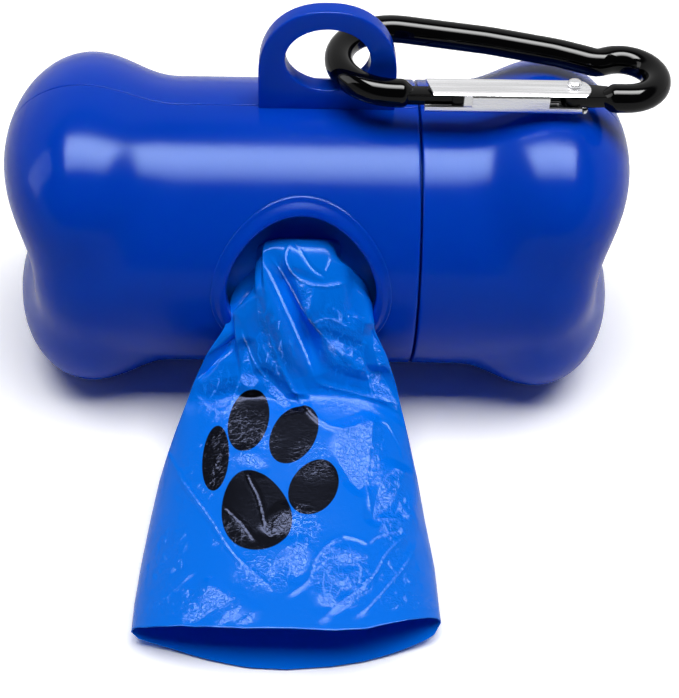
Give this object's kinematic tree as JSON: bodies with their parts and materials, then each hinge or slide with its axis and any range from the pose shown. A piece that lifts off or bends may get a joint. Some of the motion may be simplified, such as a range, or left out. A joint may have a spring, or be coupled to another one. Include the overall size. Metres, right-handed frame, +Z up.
{
  "type": "dog waste bag dispenser",
  "caption": "Bone-shaped dispenser with a twist-off end, round front outlet with a bag pulled out, a bag roll inside, a top lug and a carabiner with a sprung gate.",
  "frame": {"origin": "on the ground, under the middle of the whole object's box", "axes": "+X along the bone towards the twist-off cap and the carabiner's end, -Y out of the front outlet, +Z up through the lug"},
  "size_m": [0.0897, 0.0803, 0.0578],
  "materials": {
    "housing": "moulded, semi-gloss",
    "film": "thin glossy film, creased",
    "card": "plain wound card",
    "black_bar": "gloss black coat",
    "bright_steel": "bright plated sheet"
  },
  "bodies": {
    "dispenser": {"body_front_shell": "housing", "body_back_shell": "housing", "neck_sleeve": "housing", "outlet_lip": "housing"},
    "cap_ring": {"cap_collar": "housing"},
    "cap": {"cap_front_shell": "housing", "cap_back_shell": "housing"},
    "roll": {"bag_roll": "film", "roll_core": "card"},
    "bag": {"pulled_bag": "film"},
    "carabiner": {"carabiner_frame": "black_bar", "gate_rivet": "bright_steel"},
    "gate": {"carabiner_gate": "bright_steel", "gate_spring": "bright_steel", "gate_plunger": "bright_steel"}
  },
  "joints": [
    {"name": "cap_travel", "type": "slide", "parent": "dispenser", "child": "cap_ring", "axis": [1, 0, 0], "range_m": [0, 0.0081]},
    {"name": "cap_twist", "type": "hinge", "parent": "cap_ring", "child": "cap", "pos_m": [0.01162, 0.01988, 0.02245], "axis": [1, 0, 0], "range_deg": [0, 480]},
    {"name": "roll_spin", "type": "hinge", "parent": "dispenser", "child": "roll", "pos_m": [-0.00188, 0.01988, 0.02105], "axis": [1, 0, 0], "range_deg": [0, 110]},
    {"name": "bag_pull", "type": "slide", "parent": "dispenser", "child": "bag", "axis": [0, -1, 0], "range_m": [0, 0.03]},
    {"name": "carabiner_swing", "type": "hinge", "parent": "dispenser", "child": "carabiner", "pos_m": [0.00107, 0.02107, 0.0479], "axis": [0, 1, 0], "range_deg": [-180, 0]},
    {"name": "gate_open", "type": "hinge", "parent": "carabiner", "child": "gate", "pos_m": [0.03143, 0.01588, 0.0479], "axis": [0, 0, 1], "range_deg": [-28, 0], "stiffness_Nm_per_rad": 0.003, "springref_deg": 20.05}
  ],
  "couplings": [
    {"joint": "cap_travel", "follows": "cap_twist", "m_per_rad": 0.00095493},
    {"joint": "bag_pull", "follows": "roll_spin", "m_per_rad": 0.0155}
  ]
}
